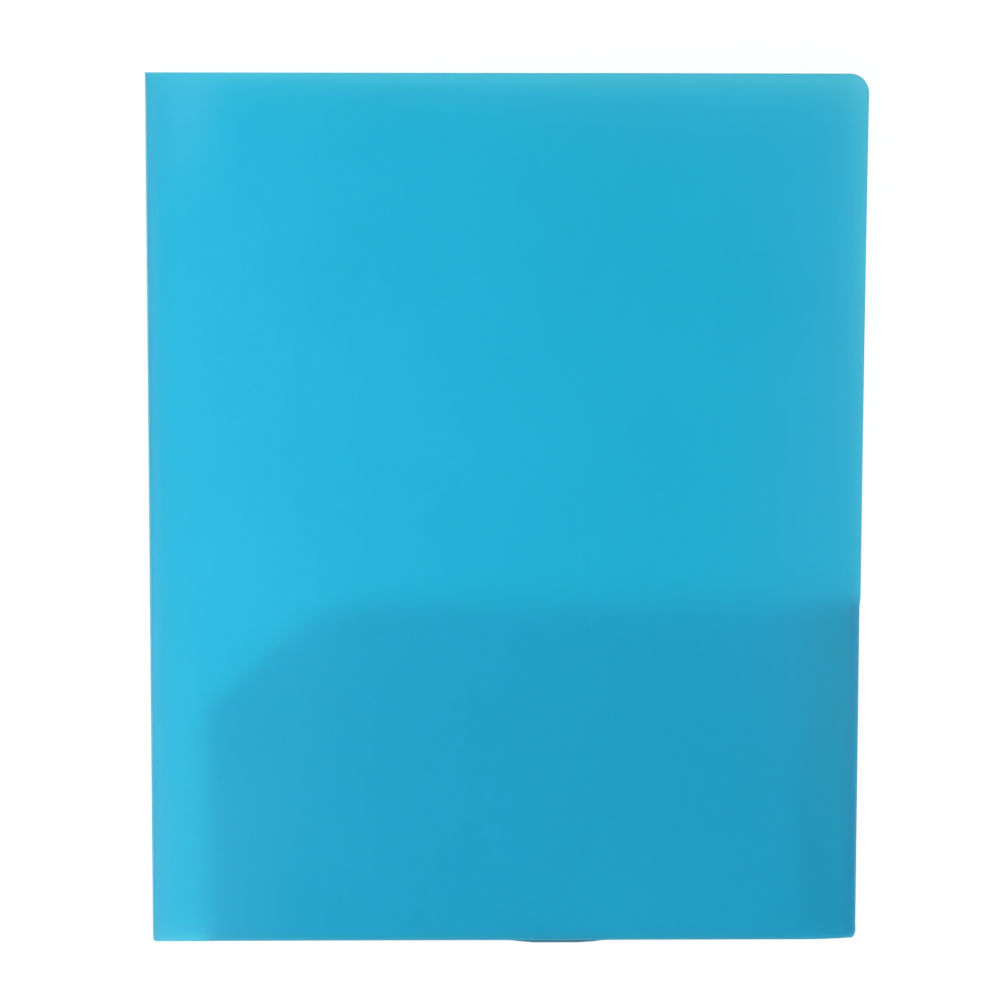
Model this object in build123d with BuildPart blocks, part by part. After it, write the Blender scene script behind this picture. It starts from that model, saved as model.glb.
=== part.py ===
"""Two pocket folder cut from one sheet of translucent plastic, closed and lying on its back cover.

The sheet is built the way it is creased. Two covers and a spine strip meet at two living hinges.
On each cover a pocket is rolled up from the bottom edge and welded to a tab that is rolled in from
the open side. The free top corner of the front cover curls up a little, as the real sheet does.

Frame: the origin is under the middle of the folder, on the surface that it lies on. +Z goes up
through the thickness, +Y to the top edge and +X from the spine to the open side. Millimetres.
"""

import os
from math import degrees, hypot

from build123d import *

os.makedirs("parts", exist_ok=True)

# The closed folder and the plastic that it is cut from
width = 241.0
height = 295.0
sheet = 0.4
corner_radius = 6.5

# Living hinges: the web left under a score line, and the room between it and a panel's edge
crease_web = 0.2
crease_clearance = 0.075

# Pocket panels: the inner top corner of each is cut off at a slant
pocket_height = 115.7
pocket_inset = 19.8
corner_cut_width = 41.2
corner_cut_height = 35.0
cut_top_radius = 40.0
cut_side_radius = 3.0
pocket_clearance = 0.2

# Rolled folds: they stop short of the cut edges, and slits and a corner ear part them
bottom_inset = 0.1
side_inset = 0.3
fold_clearance = 0.2
slit = 0.4
corner_relief = 0.6
ear_radius = 0.9
step_run = 3.5

# Tab under the outer margin of each pocket, and the weld spots that hold the two together
tab_room = 0.2
tab_width = 17.0
tab_taper = 6.0
weld_height = 0.1
weld_diameter = 5.0
weld_count = 5
weld_margin = 14.0

# Curl of the front cover above a slanting bend line, from the top edge down to the open side
curl_lift = 5.0
curl_start = 25.0
curl_rise = 14.0

# Edges of the folder in plan
top = height / 2
bottom = -height / 2
open_side = width / 2
spine_side = -width / 2

# Heights of the layers of the back leaf, from the surface up
tab_level = sheet + tab_room
pocket_level = tab_level + sheet + weld_height
leaf_depth = pocket_level + sheet
spine_depth = 2 * leaf_depth + pocket_clearance
middle = Plane.XY.offset(spine_depth / 2)

# Crease axes, and the panel edges that are thinned down to the web beside them
crease_x = spine_side + sheet / 2
back_crease_z = sheet / 2
front_crease_z = spine_depth - sheet / 2
edge_gap = crease_web / 2 + crease_clearance
edge_bevel = (sheet - crease_web) / 2
cover_left = crease_x + edge_gap

# The bottom roll joins cover and pocket, and the side roll joins cover and tab
bottom_roll_radius = (pocket_level - sheet) / 2
bottom_roll_y = bottom + bottom_inset + sheet + bottom_roll_radius
bottom_roll_z = sheet + bottom_roll_radius
side_roll_radius = tab_room / 2
side_roll_x = open_side - side_inset - sheet - side_roll_radius
side_roll_z = sheet + side_roll_radius

# Ends of the pocket and of the two rolls
pocket_left = spine_side + pocket_inset
pocket_top = bottom + bottom_inset + pocket_height
bottom_roll_end = side_roll_x - corner_relief
side_roll_start = bottom_roll_y + corner_relief

# Bend line of the curl, its direction across, and the radius that lifts the corner
bend_top = Vector(spine_side + curl_start, top)
bend_side = Vector(open_side, pocket_top + curl_rise)
bend_middle = (bend_top + bend_side) / 2
bend_along = (bend_side - bend_top).normalized()
bend_across = Vector(-bend_along.Y, bend_along.X)
corner_reach = (Vector(open_side, top) - bend_side).dot(bend_across)
curl_radius = (corner_reach**2 + curl_lift**2) / (2 * curl_lift)
curl_angle = degrees(2 * corner_reach / curl_radius)
full_reach = hypot(width, height)


def roll_section(centre, inner_radius, start_angle):
    """Draw half a ring of the sheet, rolled round a centre, in the open sketch."""
    with BuildLine() as bend:
        CenterArc(centre, inner_radius + sheet / 2, start_angle, 180)
    trace(bend.line, line_width=sheet)


# Outline of a cover: cut edges at the spine end and above the pocket, fold lines between them
with BuildSketch() as cover_outline:
    with BuildLine():
        FilletPolyline(
            (cover_left, bottom),
            (pocket_left - slit, bottom),
            (pocket_left - slit, bottom_roll_y),
            (bottom_roll_end, bottom_roll_y),
            (bottom_roll_end, bottom + bottom_inset),
            (open_side - side_inset, bottom + bottom_inset),
            (open_side - side_inset, side_roll_start),
            (side_roll_x, side_roll_start),
            (side_roll_x, pocket_top + slit),
            (open_side - side_inset, pocket_top + slit),
            (open_side, pocket_top + slit + step_run),
            (open_side, top),
            (cover_left, top),
            radius=[0, 0, 0, 0, 0, ear_radius, 0, 0, 0, 0, 0, corner_radius, 0],
            close=True,
        )
    make_face()

# Back cover, flat on the surface, bevelled on both faces beside its crease
with BuildPart() as back_cover:
    add(cover_outline.sketch)
    extrude(amount=sheet)
    chamfer(back_cover.edges().filter_by(Axis.Y).group_by(Axis.X)[0], edge_bevel)

# Front cover: flat over the pocket and beside the spine, curled up past the bend line
curl_plane = Plane(
    origin=(bend_middle.X, bend_middle.Y, front_crease_z),
    x_dir=(bend_across.X, bend_across.Y, 0),
    z_dir=(bend_across.Y, -bend_across.X, 0),
)
with BuildPart() as front_cover:
    with BuildSketch(curl_plane):
        with BuildLine():
            Line((-full_reach, 0), (0, 0))
            JernArc((0, 0), (1, 0), curl_radius, curl_angle)
        trace(line_width=sheet)
    extrude(amount=full_reach, both=True)
    add(cover_outline.sketch)
    extrude(amount=spine_depth + 2 * curl_lift, mode=Mode.INTERSECT)
    chamfer(front_cover.edges().filter_by(Axis.Y).group_by(Axis.X)[0], edge_bevel)

# Spine strip, upright between the two creases
with BuildPart() as spine_strip:
    with BuildSketch(Plane.XY.offset(back_crease_z + edge_gap)):
        with Locations((crease_x, 0)):
            Rectangle(sheet, height)
    extrude(amount=front_crease_z - back_crease_z - 2 * edge_gap)
    long_edges = spine_strip.edges().filter_by(Axis.Y)
    chamfer(long_edges, edge_bevel)

# Web of the back crease, the round bead that the score leaves along the hinge line
with BuildPart() as back_crease:
    with BuildSketch(Plane.XZ.offset(-top)):
        with Locations((crease_x, back_crease_z)):
            Circle(crease_web / 2)
    extrude(amount=height)

# Roll along the bottom of the back leaf, from the cover up to the pocket
with BuildPart() as back_bottom_fold:
    with BuildSketch(Plane.YZ.offset(pocket_left)):
        roll_section((bottom_roll_y, bottom_roll_z), bottom_roll_radius, 90)
    extrude(amount=bottom_roll_end - slit - pocket_left)

# Roll along the open side of the back leaf, from the cover in to the tab
with BuildPart() as back_side_fold:
    with BuildSketch(Plane.XZ.offset(-pocket_top)):
        roll_section((side_roll_x, side_roll_z), side_roll_radius, -90)
    extrude(amount=pocket_top - side_roll_start - slit)

# Back pocket panel with its slanted inner corner
with BuildPart() as back_pocket:
    with BuildSketch(Plane.XY.offset(pocket_level)):
        with BuildLine():
            FilletPolyline(
                (pocket_left, bottom_roll_y + fold_clearance),
                (side_roll_x, bottom_roll_y + fold_clearance),
                (side_roll_x, pocket_top),
                (pocket_left + corner_cut_width, pocket_top),
                (pocket_left, pocket_top - corner_cut_height),
                radius=[0, 0, 0, cut_top_radius, cut_side_radius],
                close=True,
            )
        make_face()
    extrude(amount=sheet)

# Back tab, tapered at its lower end to clear the bottom roll
tab_right = side_roll_x - fold_clearance
tab_left = tab_right - tab_width
tab_bottom = side_roll_start + slit
with BuildPart() as back_side_tab:
    with BuildSketch(Plane.XY.offset(tab_level)):
        with BuildLine():
            Polyline(
                (tab_right, tab_bottom),
                (tab_right, pocket_top),
                (tab_left, pocket_top),
                (tab_left, tab_bottom + tab_taper),
                close=True,
            )
        make_face()
    extrude(amount=sheet)

# Weld spots in a row down the middle of the tab
weld_span = pocket_top - tab_bottom - 2 * weld_margin
weld_middle = (tab_left + tab_width / 2, tab_bottom + weld_margin + weld_span / 2)
with BuildPart() as back_weld_spots:
    with BuildSketch(Plane.XY.offset(tab_level + sheet)):
        with Locations(weld_middle):
            with GridLocations(0, weld_span / (weld_count - 1), 1, weld_count):
                Circle(weld_diameter / 2)
    extrude(amount=weld_height)

# The front leaf repeats the back one, mirrored about the middle of the closed folder
with BuildPart() as front_crease:
    mirror(back_crease.part, about=middle)

with BuildPart() as front_bottom_fold:
    mirror(back_bottom_fold.part, about=middle)

with BuildPart() as front_side_fold:
    mirror(back_side_fold.part, about=middle)

with BuildPart() as front_pocket:
    mirror(back_pocket.part, about=middle)

with BuildPart() as front_side_tab:
    mirror(back_side_tab.part, about=middle)

with BuildPart() as front_weld_spots:
    mirror(back_weld_spots.part, about=middle)

# Each piece under its own name
pieces = {
    "back_cover": back_cover,
    "back_bottom_fold": back_bottom_fold,
    "back_side_fold": back_side_fold,
    "back_pocket": back_pocket,
    "back_side_tab": back_side_tab,
    "back_weld_spots": back_weld_spots,
    "back_crease": back_crease,
    "spine_strip": spine_strip,
    "front_crease": front_crease,
    "front_cover": front_cover,
    "front_bottom_fold": front_bottom_fold,
    "front_side_fold": front_side_fold,
    "front_pocket": front_pocket,
    "front_side_tab": front_side_tab,
    "front_weld_spots": front_weld_spots,
}
for name, piece in pieces.items():
    piece.part.label = name
    export_step(piece.part, f"parts/{name}.step")
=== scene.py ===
"""Looks of the two pocket folder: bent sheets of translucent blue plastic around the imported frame.

Each leaf is one die-cut blank that is rolled along its fold lines, as on the real folder. Metres.
"""

import math

import bmesh
import bpy
from mathutils import Matrix, Vector, noise


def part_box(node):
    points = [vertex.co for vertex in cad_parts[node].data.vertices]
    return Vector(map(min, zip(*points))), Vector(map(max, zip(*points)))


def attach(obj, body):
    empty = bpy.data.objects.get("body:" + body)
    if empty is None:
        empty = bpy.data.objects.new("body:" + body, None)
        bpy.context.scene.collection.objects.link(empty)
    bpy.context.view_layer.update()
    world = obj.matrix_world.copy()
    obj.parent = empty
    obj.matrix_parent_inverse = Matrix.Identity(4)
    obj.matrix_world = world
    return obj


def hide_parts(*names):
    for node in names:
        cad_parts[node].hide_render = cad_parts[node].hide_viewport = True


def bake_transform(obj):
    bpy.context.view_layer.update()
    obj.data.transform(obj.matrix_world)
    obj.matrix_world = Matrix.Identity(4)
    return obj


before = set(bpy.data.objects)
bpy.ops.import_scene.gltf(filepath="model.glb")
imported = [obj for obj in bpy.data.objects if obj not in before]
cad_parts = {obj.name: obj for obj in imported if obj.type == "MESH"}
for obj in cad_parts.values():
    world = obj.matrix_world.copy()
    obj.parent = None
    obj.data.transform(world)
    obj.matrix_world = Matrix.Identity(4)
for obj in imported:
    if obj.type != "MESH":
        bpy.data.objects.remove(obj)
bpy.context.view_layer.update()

MM = 0.001

# Sizes that the frame gives
back_cover_low, back_cover_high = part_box("back_cover")
front_cover_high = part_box("front_cover")[1]
spine_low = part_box("spine_strip")[0]
back_crease_low, back_crease_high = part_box("back_crease")
front_crease_low, front_crease_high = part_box("front_crease")
pocket_low, pocket_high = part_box("back_pocket")
bottom_fold_low, bottom_fold_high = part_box("back_bottom_fold")
side_fold_low, side_fold_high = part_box("back_side_fold")
tab_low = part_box("back_side_tab")[0]
weld_low, weld_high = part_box("back_weld_spots")

sheet = back_cover_high.z - back_cover_low.z
spine_side = spine_low.x
open_side = back_cover_high.x
top = back_cover_high.y
bottom = back_cover_low.y
crease_x = (back_crease_low.x + back_crease_high.x) / 2
back_crease_z = (back_crease_low.z + back_crease_high.z) / 2
front_crease_z = (front_crease_low.z + front_crease_high.z) / 2
depth = front_crease_z + sheet / 2
curl_lift = front_cover_high.z - depth

pocket_left = pocket_low.x
pocket_top = pocket_high.y
pocket_middle_z = (pocket_low.z + pocket_high.z) / 2

bottom_roll_y = bottom_fold_high.y
bottom_roll_end = bottom_fold_high.x
bottom_roll_z = (bottom_fold_low.z + bottom_fold_high.z) / 2
bottom_roll_radius = bottom_roll_z - sheet / 2
bottom_roll_length = math.pi * bottom_roll_radius
fold_bottom = bottom_fold_low.y

side_roll_x = side_fold_low.x
side_roll_start = side_fold_low.y
side_roll_z = (side_fold_low.z + side_fold_high.z) / 2
side_roll_radius = side_roll_z - sheet / 2
side_roll_length = math.pi * side_roll_radius
fold_side = side_fold_high.x
tab_reach = side_roll_x - tab_low.x

# Outline details of the die-cut blank
slit = 0.03 * MM
strip_inset = 0.2 * MM
corner_radius = 6.5 * MM
ear_radius = 0.9 * MM
spine_foot_radius = 1.4 * MM
step_run = 3.5 * MM
worn_radius = 2.5 * MM
worn_height = 10.0 * MM
roll_taper = 0.45 * MM
roll_taper_run = 16.0 * MM
corner_cut_width = 41.2 * MM
corner_cut_height = 35.0 * MM
cut_top_radius = 40.0 * MM
cut_side_radius = 3.0 * MM
tab_taper = 6.0 * MM
cut_rim = 0.14 * MM
crease_reach = 0.4 * MM
crease_thin = 0.25 * MM
leaf_left = crease_x + crease_reach
tab_fold = side_roll_x + side_roll_length
bottom_edge = bottom_roll_y - bottom_roll_length

# Bend line of the front cover's curl
curl_start = 25.0 * MM
curl_rise = 14.0 * MM

# How far the front cover bows up between its held edges, and lifts at the top by the spine
cover_bow = 3.2 * MM
bow_start = 25.0 * MM
bow_spine_run = 135.0 * MM
bow_side_run = 83.0 * MM
top_lift = 1.2 * MM
top_lift_run = 65.0 * MM
top_lift_rise = 30.0 * MM
top_lift_fall = 60.0 * MM

# How the pocket panels hang and lie down at their inner ends
front_pocket_sag = 0.75 * MM
back_pocket_sag = 0.6 * MM
sag_run = 75.0 * MM
sag_growth = 1.3
front_pocket_lean = 0.25 * MM
back_pocket_lean = 0.5 * MM
lean_start = -45.0 * MM
lean_run = 55.0 * MM

# Bulge of the bottom rolls, and the slight waves of the loose sheets
front_roll_bulge = 0.1 * MM
back_roll_bulge = 1.25 * MM
roll_bulge_x = 18.0 * MM
roll_bulge_half = 22.0 * MM
sheet_wave = 0.15 * MM
wave_length = 70.0 * MM

# How far the whitening of the creases and the painted shade of the rolls fade out beside them, and the
# depth
# of that painted shade: 1 on the bottom rolls, more on the side rolls and the ear, with the painted shadow
# the bulge adds
crease_fade = 3.0 * MM
spine_fade = 1.2 * MM
roll_fade = 0.4 * MM
side_roll_shade_level = 1.6
full_shadow_level = 3.5
bulge_shadow_depth = 3.0

# Mesh fineness
cell = 5.0 * MM
arc_step = math.radians(7.5)
roll_rows = 14
roll_margin = 0.25 * MM
spine_cell = 1.5 * MM
crease_steps = 8
crease_rows = 30
sharp_angle = math.radians(25)

SHEET_FACE, CUT_FACE = 0, 1


class Link:
    """A shader socket that takes part in Python arithmetic."""

    def __init__(self, finish, socket):
        self.finish = finish
        self.socket = socket

    def __add__(self, other):
        return self.finish.math("ADD", self, other)

    __radd__ = __add__

    def __sub__(self, other):
        return self.finish.math("SUBTRACT", self, other)

    def __rsub__(self, other):
        return self.finish.math("SUBTRACT", other, self)

    def __mul__(self, other):
        return self.finish.math("MULTIPLY", self, other)

    __rmul__ = __mul__


class Finish:
    """A node tree under construction, for a material or the world."""

    def __init__(self, owner):
        self.owner = owner
        owner.use_nodes = True
        self.tree = owner.node_tree
        self.tree.nodes.clear()

    def node(self, kind, settings=None, sockets=None, out=0):
        """Add a node, set its settings, then its sockets, and return one of its outputs."""
        made = self.tree.nodes.new("ShaderNode" + kind)
        for name, value in (settings or {}).items():
            setattr(made, name, value)
        for name, value in (sockets or {}).items():
            if isinstance(value, Link):
                self.tree.links.new(value.socket, made.inputs[name])
            else:
                made.inputs[name].default_value = value
        return Link(self, made.outputs[out]) if made.outputs else None

    def math(self, operation, first, second):
        return self.node("Math", {"operation": operation}, {0: first, 1: second})

    def mix_colour(self, share, first, second):
        sockets = {"Factor": share, 6: first, 7: second}
        return self.node("Mix", {"data_type": "RGBA"}, sockets, out=2)

    def stretch(self, vector, scale):
        return self.node("VectorMath", {"operation": "MULTIPLY"}, {0: vector, 1: scale})

    def spread(self, value, low, high, to_low=0.0, to_high=1.0):
        """Map a value from one range to another, with clamped ends."""
        sockets = {"Value": value, "From Min": low, "From Max": high, "To Min": to_low, "To Max": to_high}
        return self.node("MapRange", {"clamp": True}, sockets)

    def close(self, shader, kind="OutputMaterial"):
        self.node(kind, sockets={"Surface": shader})
        return self.owner


# Linear colours of the plastic: what a face sends back, and what it lets through
SENT_BACK = (0.05, 0.8, 0.955, 1)
STRAINED = (0.1, 0.66, 0.94, 1)
SPECK = (0.4, 0.85, 0.96, 1)
# The next colour is painted shade that darkens the rolls and the ear
PAINTED_ROLL_SHADE = (0.03, 0.53, 0.77, 1)
# The next colour is a painted shadow: the dark line along the bulge of the back roll
PAINTED_BULGE_SHADOW = (0.03, 0.22, 0.36, 1)
LET_THROUGH = (0.5, 0.932, 0.979, 1)
EDGE_SENT_BACK = (0.03, 0.3, 0.42, 1)
EDGE_LET_THROUGH = (0.4, 0.68, 0.78, 1)
THROUGH_SHARE = 0.82
POCKET_LET_THROUGH = (0.53, 0.952, 0.993, 1)
CREASE_LET_THROUGH = (0.5, 0.95, 0.99, 1)
WELD_LET_THROUGH = (0.95, 0.98, 0.99, 1)
DEEP_PIGMENT = 0.975

# Patterns of the sheet, in repeats per metre
CLOUDS = 16.0
STREAKS = (420.0, 7.0, 1.0)
GRAIN = 2200.0
SPECKS = 20.0
SHEET_GRAIN = 0.02 * MM
EDGE_GRAIN = 0.004 * MM


def plastic(name, sent_back=SENT_BACK, through=THROUGH_SHARE, let_through=LET_THROUGH, strained=0.8,
            roughness=0.2, grain_depth=SHEET_GRAIN):
    """Translucent extruded sheet: grained faces, faint streaks and clouds, whitening on creases, painted
    shade on rolls.
    """
    finish = Finish(bpy.data.materials.new(name))
    flat = {"noise_dimensions": "2D"}
    place = finish.node("TexCoord", out="Object")
    cloud = finish.node("TexNoise", flat, {"Vector": place, "Scale": CLOUDS, "Detail": 1.0}, out="Fac")
    along = finish.stretch(place, STREAKS)
    streak = finish.node("TexNoise", flat, {"Vector": along, "Scale": 1.0, "Detail": 1.0}, out="Fac")
    grain = finish.node("TexNoise", flat, {"Vector": place, "Scale": GRAIN, "Detail": 0.0}, out="Fac")
    cells = finish.node("TexVoronoi", {"voronoi_dimensions": "2D"}, {"Vector": place, "Scale": SPECKS},
                        out="Distance")
    speck = finish.spread(cells, 0.004, 0.009, 1.0, 0.0)
    strain = finish.node("Attribute", {"attribute_name": "fold_strain"}, out="Fac")
    strained_streaks = strain * finish.spread(streak, 0.3, 0.7, 0.5, 1.0)
    rolled = finish.node("Attribute", {"attribute_name": "rolled"}, out="Fac")

    pigment = finish.spread(cloud * 0.6 + streak * 0.4, 0.35, 0.65)
    deep = [value * DEEP_PIGMENT for value in sent_back[:3]] + [1]
    tint = finish.mix_colour(pigment, deep, sent_back)
    # Painted shade darkens the rolls and the ear
    tint = finish.mix_colour(rolled, tint, PAINTED_ROLL_SHADE)
    # Painted shadow, a dark line on the bulge of the back roll
    tint = finish.mix_colour(finish.spread(rolled, side_roll_shade_level, full_shadow_level), tint, PAINTED_BULGE_SHADOW)
    tint = finish.mix_colour(strained_streaks * strained, tint, STRAINED)
    tint = finish.mix_colour(speck * 0.6, tint, SPECK)
    rough = finish.spread(cloud, 0.3, 0.7, roughness - 0.03, roughness + 0.03)
    relief = finish.node("Bump", sockets={"Strength": 0.35, "Distance": grain_depth, "Height": grain})
    # The painted roll shade also lets less light through
    share = through - strained_streaks * 0.14 - speck * 0.12 - rolled * 0.1

    face = finish.node("BsdfPrincipled", sockets={
        "Base Color": tint, "Roughness": rough, "Specular IOR Level": 0.85, "Normal": relief})
    glow = finish.node("BsdfTranslucent", sockets={"Color": let_through})
    return finish.close(finish.node("MixShader", sockets={0: share, 1: face, 2: glow}))


def studio_floor():
    """White floor: rays from the camera see it nearly white, rays through the sheets see its true shade."""
    finish = Finish(bpy.data.materials.new("studio_floor"))
    seen = finish.node("LightPath", out="Is Camera Ray")
    paper = finish.node("BsdfPrincipled", sockets={
        "Base Color": (0.96, 0.96, 0.96, 1), "Roughness": 0.9, "Specular IOR Level": 0.1})
    white = finish.node("Emission", sockets={"Color": (1, 1, 1, 1), "Strength": 1.02})
    return finish.close(finish.node("MixShader", sockets={0: seen * 0.93, 1: paper, 2: white}))


sheet_material = plastic("blue_sheet")
pocket_material = plastic("pocket_sheet", let_through=POCKET_LET_THROUGH)
edge_material = plastic("cut_edge", EDGE_SENT_BACK, let_through=EDGE_LET_THROUGH, grain_depth=EDGE_GRAIN)
crease_material = plastic("scored_crease", through=0.42, let_through=CREASE_LET_THROUGH, strained=0.9)
weld_material = plastic("weld_mark", through=0.95, let_through=WELD_LET_THROUGH, roughness=0.3)


def rounded(corners):
    """Points of a closed outline whose corners, given as (x, y, radius), are rounded by arcs."""
    points = []
    for index, (x, y, radius) in enumerate(corners):
        here = Vector((x, y))
        if radius == 0:
            points.append(here)
            continue
        to_last = (Vector(corners[index - 1][:2]) - here).normalized()
        to_next = (Vector(corners[(index + 1) % len(corners)][:2]) - here).normalized()
        half = to_last.angle(to_next) / 2
        centre = here + (to_last + to_next).normalized() * (radius / math.sin(half))
        arm = here + to_last * (radius / math.tan(half)) - centre
        turn = math.copysign(math.pi - 2 * half, to_next.cross(to_last))
        steps = math.ceil(abs(turn) / arc_step)
        for step in range(steps + 1):
            points.append(centre + Matrix.Rotation(turn * step / steps, 2) @ arm)
    return points


def marks(low, high, spacing):
    """Evenly spaced places between two ends, the ends left out."""
    count = math.ceil((high - low) / spacing)
    return [low + (high - low) * k / count for k in range(1, count)]


def cut_blank(corners, columns, rows, joined):
    """Cut a flat blank, divide it, and give it thickness and a rounded rim, except on its joined edges."""
    bm = bmesh.new()
    bm.faces.new([bm.verts.new((p.x, p.y, -sheet / 2)) for p in rounded(corners)])
    cuts = [((x, 0, 0), (1, 0, 0)) for x in columns] + [((0, y, 0), (0, 1, 0)) for y in rows]
    for place, across in cuts:
        everything = bm.verts[:] + bm.edges[:] + bm.faces[:]
        bmesh.ops.bisect_plane(bm, geom=everything, dist=1e-7, plane_co=place, plane_no=across)
    grown = bmesh.ops.extrude_face_region(bm, geom=bm.faces[:])
    for item in grown["geom"]:
        if isinstance(item, bmesh.types.BMVert):
            item.co.z = sheet / 2
    bmesh.ops.recalc_face_normals(bm, faces=bm.faces[:])
    for face in bm.faces:
        face.material_index = SHEET_FACE if abs(face.normal.z) > 0.5 else CUT_FACE
    rim = [
        edge for edge in bm.edges
        if len({face.material_index for face in edge.link_faces}) == 2
        and not joined((edge.verts[0].co + edge.verts[1].co) / 2)
    ]
    bmesh.ops.bevel(bm, geom=rim, offset=cut_rim, offset_type="OFFSET", segments=2, profile=0.5,
                    affect="EDGES", clamp_overlap=True, material=CUT_FACE)
    return bm


def finish_piece(name, bm, materials):
    """Turn a bmesh into a smooth shaded piece with its materials."""
    bmesh.ops.recalc_face_normals(bm, faces=bm.faces[:])
    mesh = bpy.data.meshes.new(name)
    bm.to_mesh(mesh)
    bm.free()
    mesh.polygons.foreach_set("use_smooth", [True] * len(mesh.polygons))
    mesh.set_sharp_from_angle(angle=sharp_angle)
    for material in materials:
        mesh.materials.append(material)
    piece = bpy.data.objects.new(name, mesh)
    bpy.context.scene.collection.objects.link(piece)
    return piece


def smooth(share):
    """A soft step from 0 to 1."""
    share = min(max(share, 0.0), 1.0)
    return share * share * (3 - 2 * share)


def curl(x, y):
    """Lift of the front cover past its slanting bend line."""
    bend_top = Vector((spine_side + curl_start, top))
    bend_side = Vector((open_side, pocket_top + curl_rise))
    along = (bend_side - bend_top).normalized()
    across = Vector((-along.y, along.x))
    corner_reach = (Vector((open_side, top)) - bend_side).dot(across)
    radius = (corner_reach**2 + curl_lift**2) / (2 * curl_lift)
    past = max((Vector((x, y)) - bend_side).dot(across), 0.0)
    return radius - math.sqrt(radius**2 - past**2)


def wave(x, y, seed):
    """Slight unevenness of a loose sheet, from 0 up, that dies out at the folds."""
    held = smooth((x - leaf_left) / wave_length) * smooth((side_roll_x - x) / wave_length)
    held *= smooth((y - bottom_roll_y) / wave_length)
    return sheet_wave * held * (1 + noise.noise(Vector((x, y, 0)) / wave_length + Vector((0, 0, seed))))


def bow(x, y):
    """Gentle crown of the front cover between its held edges."""
    from_spine = smooth((x - leaf_left - bow_start) / bow_spine_run)
    to_side = 1 - min(max((fold_side - x) / bow_side_run, 0.0), 1.0)
    from_tab = 1 - to_side**2
    from_fold = smooth((y - bottom_roll_y) / (pocket_top - bottom_roll_y))
    near_top = smooth((y - top + top_lift_run) / top_lift_run)
    corner = smooth((x - leaf_left) / top_lift_rise) * smooth(-x / top_lift_fall)
    return cover_bow * from_spine * from_tab * from_fold + top_lift * near_top * corner


def on_bottom_roll(x, y):
    return y < bottom_roll_y and pocket_left - slit / 2 < x < bottom_roll_end + slit / 2


def on_side_roll(x, y):
    return x > side_roll_x and side_roll_start - slit / 2 < y < pocket_top + slit / 2


def crease_strain(x):
    """How far the score of the crease strains the blank: 1 at its edge, fading beside it."""
    return 1 - smooth((x - leaf_left) / crease_fade)


def rolled(x, y):
    """Painted shade on the bottom and side rolls of the blank and on the ear between them."""
    share = 0.0
    if pocket_left < x < bottom_roll_end:
        past = max(y - bottom_roll_y, bottom_edge - y, 0.0)
        share = max(share, 1 - smooth(past / roll_fade))
    if side_roll_start < y < pocket_top:
        past = max(side_roll_x - x, x - tab_fold, 0.0)
        share = max(share, side_roll_shade_level - side_roll_shade_level * smooth(past / (2 * roll_fade)))
    if x > bottom_roll_end and y < side_roll_start:
        share = side_roll_shade_level
    return share


def roll_up(x, y, above):
    """Place on the rolled leaf, heights from its outer face, for a place on its flat blank."""
    if on_bottom_roll(x, y):
        angle = (bottom_roll_y - y) / bottom_roll_radius
        reach = bottom_roll_radius - above
        return Vector((x, bottom_roll_y - reach * math.sin(angle), bottom_roll_z - reach * math.cos(angle)))
    if on_side_roll(x, y):
        run = x - side_roll_x
        if run > side_roll_length:
            return Vector((side_roll_x - (run - side_roll_length), y, 2 * side_roll_z - sheet / 2 - above))
        angle = run / side_roll_radius
        reach = side_roll_radius - above
        return Vector((side_roll_x + reach * math.sin(angle), y, side_roll_z - reach * math.cos(angle)))
    return Vector((x, y, sheet / 2 + above))


def foot_rise(x):
    """How far the rounded foot of the spine lifts the bottom edge at a place."""
    inward = max(spine_foot_radius - (x - spine_side), 0.0)
    return spine_foot_radius - math.sqrt(max(spine_foot_radius**2 - inward**2, 0.0))


def worn_corner(place):
    """Lift a place near the open bottom corner, where the roll tapers off and the corner is worn round."""
    inward = min(max(worn_radius - (fold_side - place.x), 0.0), worn_radius)
    lift = worn_radius - math.sqrt(worn_radius**2 - inward**2)
    lift += roll_taper * smooth((place.x - fold_side + roll_taper_run) / roll_taper_run)
    place.y += lift * (1 - smooth((place.y - fold_bottom) / worn_height))


def leaf_corners():
    """Outline of a leaf's blank: the cover, with the bottom roll and the side roll and tab unrolled."""
    tab_edge = tab_fold + tab_reach
    foot = [leaf_left + (spine_side + spine_foot_radius - leaf_left) * k / 3 for k in range(4)]
    return [(x, bottom + strip_inset + foot_rise(x), 0) for x in foot] + [
        (pocket_left - slit, bottom + strip_inset, 0),
        (pocket_left - slit, bottom_roll_y, 0),
        (pocket_left, bottom_roll_y, 0),
        (pocket_left, bottom_edge, 0),
        (bottom_roll_end, bottom_edge, 0),
        (bottom_roll_end, bottom_roll_y, 0),
        (bottom_roll_end + slit, bottom_roll_y, 0),
        (bottom_roll_end + slit, fold_bottom, 0),
        (fold_side, fold_bottom, ear_radius),
        (fold_side, side_roll_start - slit, 0),
        (side_roll_x, side_roll_start - slit, 0),
        (side_roll_x, side_roll_start, 0),
        (tab_fold, side_roll_start, 0),
        (tab_edge, side_roll_start + tab_taper, 0),
        (tab_edge, pocket_top, 0),
        (side_roll_x, pocket_top, 0),
        (side_roll_x, pocket_top + slit, 0),
        (fold_side, pocket_top + slit, 0),
        (open_side, pocket_top + slit + step_run, 0),
        (open_side, top, corner_radius),
        (leaf_left, top, 0),
    ]


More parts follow.
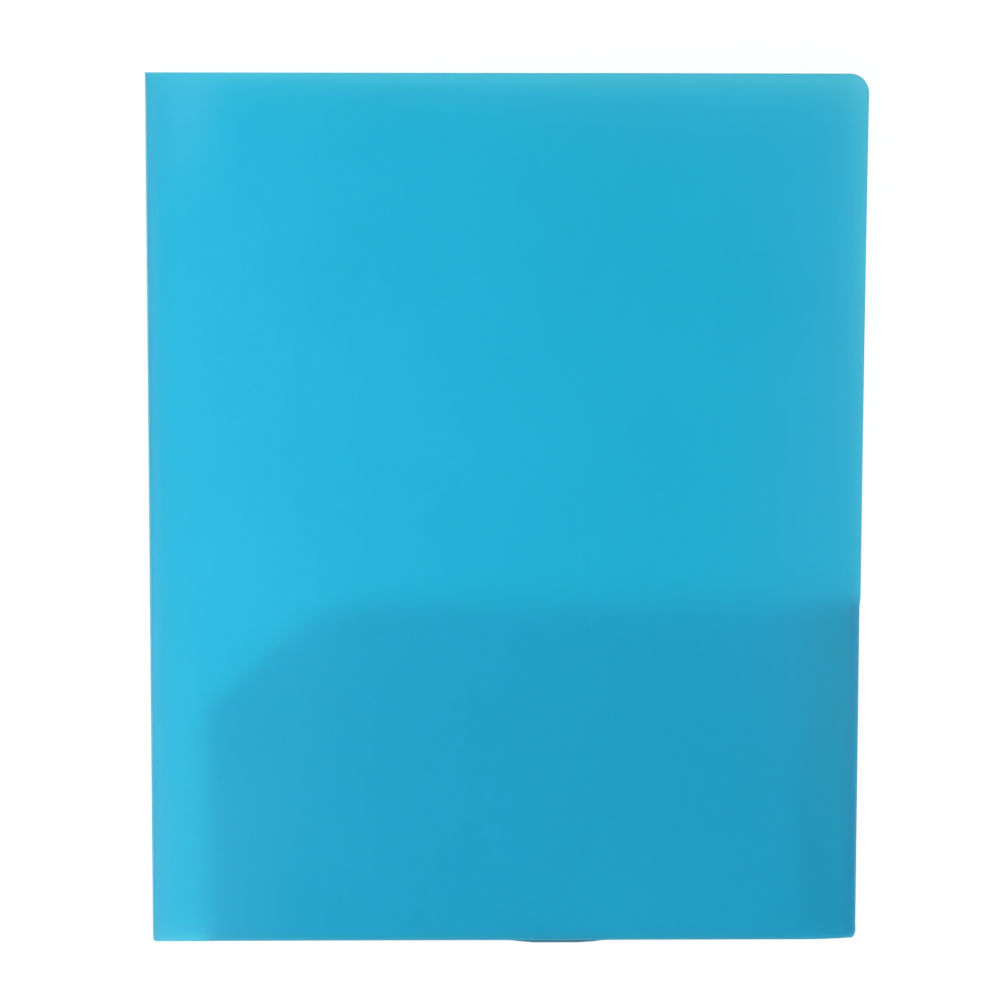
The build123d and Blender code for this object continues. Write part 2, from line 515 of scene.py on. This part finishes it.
def make_leaf(side):
    """One leaf: cover, bottom roll, side roll and tab in one bent sheet."""
    front = side == "front"
    columns = marks(leaf_left, side_roll_x, cell)
    columns += [side_roll_x - roll_margin, side_roll_x, tab_fold, tab_fold + roll_margin]
    columns += marks(side_roll_x, tab_fold, side_roll_length / roll_rows)
    columns += marks(tab_fold, tab_fold + tab_reach, cell)
    rows = marks(bottom_roll_y, top, cell) + [bottom_roll_y + roll_margin, bottom_roll_y]
    rows += marks(bottom_edge, bottom_roll_y, bottom_roll_length / roll_rows)

    def joined(place):
        return place.x < leaf_left + slit / 2 or place.y < bottom_edge + slit / 2

    bm = cut_blank(leaf_corners(), columns, rows, joined)
    strain = bm.verts.layers.float.new("fold_strain")
    roll = bm.verts.layers.float.new("rolled")
    for vertex in bm.verts:
        x, y, above = vertex.co
        vertex[strain] = crease_strain(x)
        vertex[roll] = rolled(x, y)
        place = roll_up(x, y, above)
        if front:
            place.z = depth - place.z + curl(x, y) + bow(x, y) + wave(x, y, 0.0)
        else:
            place.z += wave(x, y, 5.0)
        if on_bottom_roll(x, y):
            bulge = smooth(1.5 * (1 - abs(x - roll_bulge_x) / roll_bulge_half))
            reach = front_roll_bulge if front else back_roll_bulge
            place.y -= reach * bulge * math.sin((bottom_roll_y - y) / bottom_roll_radius)
            # The bulge of the back roll gets a painted dark shadow line where it shows below the front roll
            vertex[roll] += 0.0 if front else bulge_shadow_depth * bulge
        worn_corner(place)
        vertex.co = place
    leaf = finish_piece(f"{side}_leaf_sheet", bm, [sheet_material, edge_material])
    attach(leaf, f"{side}_leaf")
    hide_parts(f"{side}_cover", f"{side}_bottom_fold", f"{side}_side_fold", f"{side}_side_tab")


def make_pocket(side):
    """One pocket panel: held at its bottom roll and at its tab, hanging free between them."""
    front = side == "front"
    corners = [
        (pocket_left, bottom_roll_y, 0),
        (side_roll_x, bottom_roll_y, 0),
        (side_roll_x, pocket_top, 0),
        (pocket_left + corner_cut_width, pocket_top, cut_top_radius),
        (pocket_left, pocket_top - corner_cut_height, cut_side_radius),
    ]
    columns = marks(pocket_left, side_roll_x, cell)
    rows = marks(bottom_roll_y, pocket_top, cell)
    bm = cut_blank(corners, columns, rows, lambda place: place.y < bottom_roll_y + slit / 2)
    strain = bm.verts.layers.float.new("fold_strain")
    for vertex in bm.verts:
        x, y, above = vertex.co
        vertex[strain] = 0.0
        rise = (y - bottom_roll_y) / (pocket_top - bottom_roll_y)
        lean = smooth((lean_start - x) / lean_run)
        hang = smooth((tab_low.x - x) / sag_run) * rise**sag_growth * (1 - lean)
        if front:
            z = depth - pocket_middle_z - above - front_pocket_sag * hang - front_pocket_lean * lean
        else:
            z = pocket_middle_z + above - back_pocket_sag * hang - back_pocket_lean * lean
        place = Vector((x, y, z))
        worn_corner(place)
        vertex.co = place
    panel = finish_piece(f"{side}_pocket_panel", bm, [pocket_material, edge_material])
    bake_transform(panel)
    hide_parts(f"{side}_pocket")


def make_crease(side):
    """Scored living hinge: a quarter turn of the sheet, thinned from the inside along its middle."""
    bm = bmesh.new()
    rings = []
    for k in range(crease_rows + 1):
        outer = []
        inner = []
        for j in range(crease_steps + 1):
            angle = math.pi / 2 * j / crease_steps
            away = Vector((-math.sin(angle), -math.cos(angle)))
            thinned = (sheet - crease_thin) * math.sin(2 * angle) ** 2
            faces = ((outer, crease_reach + sheet / 2), (inner, crease_reach - sheet / 2 + thinned))
            for line, reach in faces:
                x, z = Vector((leaf_left, back_crease_z + crease_reach)) + away * reach
                y = top + (bottom + strip_inset + foot_rise(x) - top) * (1 - k / crease_rows)
                line.append(bm.verts.new((x, y, z if side == "back" else depth - z)))
        rings.append(outer + inner[::-1])
    for first, second in zip(rings, rings[1:]):
        for j in range(len(first)):
            following = (j + 1) % len(first)
            bm.faces.new((first[j], first[following], second[following], second[j]))
    bm.faces.new(rings[0])
    bm.faces.new(rings[-1])
    strain = bm.verts.layers.float.new("fold_strain")
    for vertex in bm.verts:
        vertex[strain] = 1.0
    web = finish_piece(f"{side}_crease_web", bm, [crease_material])
    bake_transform(web)
    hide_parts(f"{side}_crease")


def make_spine():
    """Spine panel between the two creases."""
    low = back_crease_z + crease_reach
    high = front_crease_z - crease_reach
    foot = bottom + strip_inset + foot_rise(crease_x)
    corners = [(low, foot, 0), (high, foot, 0), (high, top, 0), (low, top, 0)]
    bm = cut_blank(corners, marks(low, high, spine_cell), marks(foot, top, cell),
                   lambda place: not low + cut_rim < place.x < high - cut_rim)
    strain = bm.verts.layers.float.new("fold_strain")
    for vertex in bm.verts:
        z, y, above = vertex.co
        vertex[strain] = 1 - smooth(min(z - low, high - z) / spine_fade)
        vertex.co = Vector((crease_x + above, y, z))
    spine = finish_piece("spine_panel", bm, [sheet_material, edge_material])
    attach(spine, "spine")
    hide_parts("spine_strip")


def make_welds(side):
    """Row of round weld marks with a raised lip and a knurled middle, through tab and pocket."""
    count = 5
    rings = 10
    around = 40
    raised = 0.02 * MM
    sunk = 0.01 * MM
    lip_height = 0.05 * MM
    lip_start = 0.75
    lip_rise = 0.15
    lip_fall = 0.1
    knurl = 0.03 * MM
    knurl_turn = 2 * math.pi / (0.9 * MM)
    radius = (weld_high.x - weld_low.x) / 2
    face = pocket_high.z
    foot = face - sunk
    span = weld_high.y - weld_low.y - 2 * radius
    bm = bmesh.new()
    for k in range(count):
        centre = Vector((weld_low.x + radius, weld_low.y + radius + span * k / (count - 1), 0))
        loops = []
        for ring in range(1, rings + 1):
            out = ring / rings
            loop = []
            for turn in range(around):
                angle = 2 * math.pi * turn / around
                x = radius * out * math.cos(angle)
                y = radius * out * math.sin(angle)
                lip = lip_height * smooth((out - lip_start) / lip_rise) * smooth((1 - out) / lip_fall)
                bumps = knurl * math.cos(knurl_turn * x) * math.cos(knurl_turn * y)
                height = face + raised + lip + (bumps if out < lip_start else 0.0)
                loop.append(bm.verts.new(centre + Vector((x, y, height))))
            loops.append(loop)
        skirt = [bm.verts.new(Vector((vertex.co.x, vertex.co.y, foot))) for vertex in loops[-1]]
        loops.append(skirt)
        bm.faces.new(loops[0])
        for first, second in zip(loops, loops[1:]):
            for turn in range(around):
                following = (turn + 1) % around
                bm.faces.new((first[turn], first[following], second[following], second[turn]))
        bm.faces.new(skirt)
    if side == "front":
        for vertex in bm.verts:
            vertex.co.z = depth - vertex.co.z
    welds = finish_piece(f"{side}_weld_marks", bm, [weld_material])
    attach(welds, f"{side}_leaf")
    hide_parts(f"{side}_weld_spots")


for side in ("back", "front"):
    make_leaf(side)
    make_pocket(side)
    make_crease(side)
    make_welds(side)
make_spine()


# Camera: where the folder was seen from
camera_place = Vector((-23.67, 122.62, 1116.76)) * MM
camera_target = Vector((-2.01, 4.11, 0.2)) * MM
camera_roll = math.radians(0.104)
camera_lens = 119.35

camera_data = bpy.data.cameras.new("camera")
camera_data.lens = camera_lens
camera_data.sensor_width = 36.0
camera = bpy.data.objects.new("camera", camera_data)
back_axis = (camera_place - camera_target).normalized()
right_axis = Vector((0, 1, 0)).cross(back_axis).normalized()
up_axis = back_axis.cross(right_axis)
turned = Matrix((right_axis, up_axis, back_axis)).transposed().to_4x4()
camera.matrix_world = Matrix.Translation(camera_place) @ turned @ Matrix.Rotation(camera_roll, 4, "Z")
bpy.context.scene.collection.objects.link(camera)
bpy.context.scene.camera = camera

# Light of the studio: a plain room and soft lamps, some of them a little cool
WHITE = (1, 1, 1)
COOL = (0.85, 0.95, 1.15)


def add_softbox(name, place, aim, size, power, colour=WHITE):
    """A lamp that faces a place on the folder, with its size along and across."""
    lamp = bpy.data.lights.new(name, "AREA")
    lamp.shape = "RECTANGLE"
    lamp.size, lamp.size_y = size
    lamp.energy = power
    lamp.color = colour
    box = bpy.data.objects.new(name, lamp)
    box.visible_camera = False
    box.location = place
    box.rotation_euler = (Vector(aim) - Vector(place)).to_track_quat("-Z", "Y").to_euler()
    bpy.context.scene.collection.objects.link(box)


# High lamps whose blurred reflections end at the sides, and low strips around the edges
room_level = 0.378
add_softbox("left_softbox", (-0.262, -0.08, 0.63), (0, -0.045, 0), (0.75, 0.17), 1.5)
add_softbox("right_softbox", (0.315, 0.1, 0.6), (0, 0.1, 0), (0.25, 0.14), 0.32)
add_softbox("right_low_softbox", (0.29, -0.178, 0.6), (0, -0.178, 0), (0.305, 0.14), 0.19, COOL)
add_softbox("right_strip_light", (0.33, 0.05, 0.2), (0, 0.05, 0), (0.6, 0.1), 0.12, COOL)
add_softbox("front_strip_light", (0.04, -0.36, 0.2), (0.04, 0, 0), (0.34, 0.1), 0.105, COOL)
add_softbox("rear_strip_light", (0.03, 0.36, 0.2), (0.03, 0, 0), (0.4, 0.1), 0.06, COOL)
add_softbox("spine_strip_light", (-0.22, 0.03, 0.13), (0, 0.03, 0), (0.54, 0.1), 0.22)
world = Finish(bpy.data.worlds.new("studio"))
seen = world.node("LightPath", out="Is Camera Ray")
brightness = room_level + seen * (1.0 - room_level)
room = world.node("Background", sockets={"Color": (1, 1, 1, 1), "Strength": brightness})
bpy.context.scene.world = world.close(room, "OutputWorld")

# Floor under the folder
floor_gap = 0.2 * MM
floor_half = 6.0
floor_mesh = bpy.data.meshes.new("floor")
floor_corners = [(-floor_half, -floor_half, -floor_gap), (floor_half, -floor_half, -floor_gap),
                 (floor_half, floor_half, -floor_gap), (-floor_half, floor_half, -floor_gap)]
floor_mesh.from_pydata(floor_corners, [], [(0, 1, 2, 3)])
floor_mesh.materials.append(studio_floor())
floor = bpy.data.objects.new("floor", floor_mesh)
bpy.context.scene.collection.objects.link(floor)

# Every lamp is sampled alike, and light goes back and forth between the sheets many times
bpy.context.scene.cycles.use_light_tree = False
bpy.context.scene.cycles.max_bounces = 32
bpy.context.scene.cycles.diffuse_bounces = 32
bpy.context.scene.cycles.transmission_bounces = 32
bpy.context.scene.view_settings.view_transform = "Standard"
